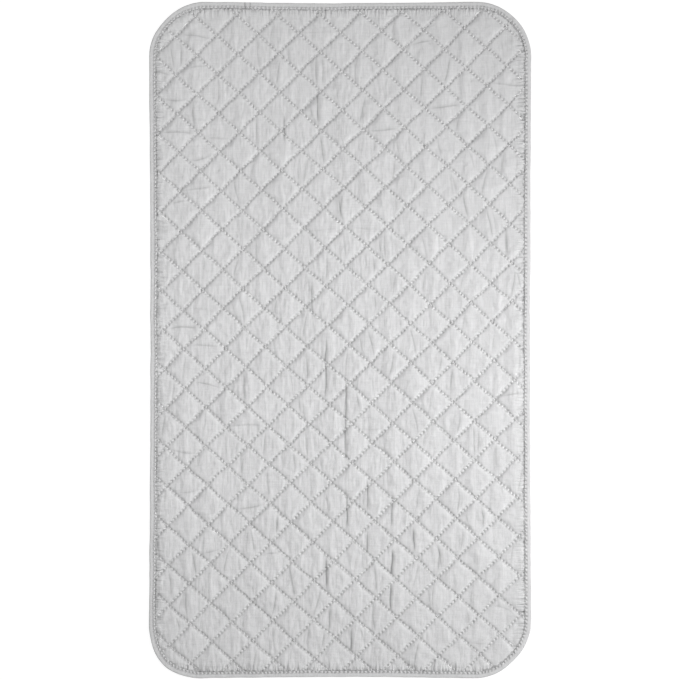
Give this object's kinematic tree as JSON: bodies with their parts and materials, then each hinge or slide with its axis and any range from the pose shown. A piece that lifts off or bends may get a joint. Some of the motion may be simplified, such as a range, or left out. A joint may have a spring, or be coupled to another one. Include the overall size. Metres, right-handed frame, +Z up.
{
  "type": "ironing pad",
  "caption": "Quilted cotton ironing pad with wadding, a backing cloth, a bound edge and corner magnets, laid flat on a table or a washer top to iron on",
  "frame": {"origin": "middle of the underside, on the surface the pad lies on", "axes": "+Z up through the thickness, +Y along the pad towards its far end, +X across the pad to the right"},
  "size_m": [0.48, 0.85, 0.0048],
  "materials": {
    "face_cotton": "plain-woven cotton with fine slubs, dull silver-grey",
    "wadding_fibre": "bonded white fibre wadding",
    "backing_cotton": "plain-woven grey cotton",
    "binding_tape": "folded woven grey tape",
    "thread": "twisted grey sewing thread",
    "magnet_nickel": "nickel-plated disc"
  },
  "bodies": {
    "root": {"face_cloth": "face_cotton", "wadding": "wadding_fibre", "backing_cloth": "backing_cotton", "edge_binding": "binding_tape", "quilting_thread": "thread", "binding_thread_upper": "thread", "binding_thread_lower": "thread", "magnet_front_left": "magnet_nickel", "magnet_front_right": "magnet_nickel", "magnet_back_left": "magnet_nickel", "magnet_back_right": "magnet_nickel"}
  },
  "joints": []
}
